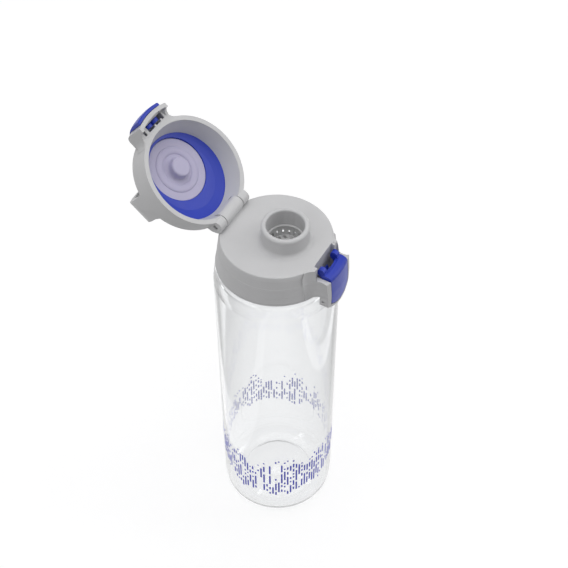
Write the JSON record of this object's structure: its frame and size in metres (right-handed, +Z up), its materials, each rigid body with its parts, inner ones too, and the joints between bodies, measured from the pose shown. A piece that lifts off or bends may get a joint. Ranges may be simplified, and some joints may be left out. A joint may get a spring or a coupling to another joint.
{
  "type": "flip-cover drinking bottle",
  "caption": "Clear drinking bottle with a screw cap, a latched flip cover with a carry loop, an off-centre spout and a strainer.",
  "frame": {"origin": "centre of the base on the bottle axis, at the plane that the bottle stands on (the open end of the recess under the base)", "axes": "+Z up along the bottle axis; -Y to the front, where the latch is; +Y to the back, where the hinge is; +X along the hinge axis"},
  "size_m": [0.074, 0.1314, 0.3044],
  "materials": {
    "clear_body": "clear, glossy",
    "cap_plastic": "satin moulded plastic, light grey",
    "accent_plastic": "semi-gloss moulded plastic, blue",
    "silicone": "soft matte silicone, pale lilac",
    "strainer_plastic": "satin moulded plastic, off-white",
    "pin_steel": "drawn stainless wire"
  },
  "bodies": {
    "bottle": {"bottle": "clear_body"},
    "gasket": {"cap_gasket": "silicone"},
    "cap": {"cap_shell": "cap_plastic", "strainer": "strainer_plastic", "latch_pins": "pin_steel", "hinge_pin": "pin_steel"},
    "cover": {"cover_shell": "cap_plastic", "cover_liner": "accent_plastic", "mouth_seal": "silicone"},
    "button": {"latch_button": "accent_plastic", "latch_spring": "pin_steel"},
    "lock": {"lock_slider": "accent_plastic"}
  },
  "joints": [
    {"name": "cap_lift", "type": "slide", "parent": "bottle", "child": "gasket", "axis": [0, 0, 1], "range_m": [0, 0.00505]},
    {"name": "cap_turn", "type": "hinge", "parent": "gasket", "child": "cap", "pos_m": [0, 0, 0.24], "axis": [0, 0, 1], "range_deg": [0, 450]},
    {"name": "cover_hinge", "type": "hinge", "parent": "cap", "child": "cover", "pos_m": [0, 0.0308, 0.2519], "axis": [1, 0, 0], "range_deg": [0, 140]},
    {"name": "latch_press", "type": "hinge", "parent": "cap", "child": "button", "pos_m": [0, -0.0374, 0.2242], "axis": [-1, 0, 0], "range_deg": [0, 4], "stiffness_Nm_per_rad": 1.5, "springref_deg": -1.72},
    {"name": "lock_slide", "type": "hinge", "parent": "cover", "child": "lock", "pos_m": [0, 0.05639, 0.26932], "axis": [0, 0.6428, -0.766], "range_deg": [0, 3.4]}
  ],
  "couplings": [
    {"joint": "cap_lift", "follows": "cap_turn", "m_per_rad": 0.00063662}
  ]
}
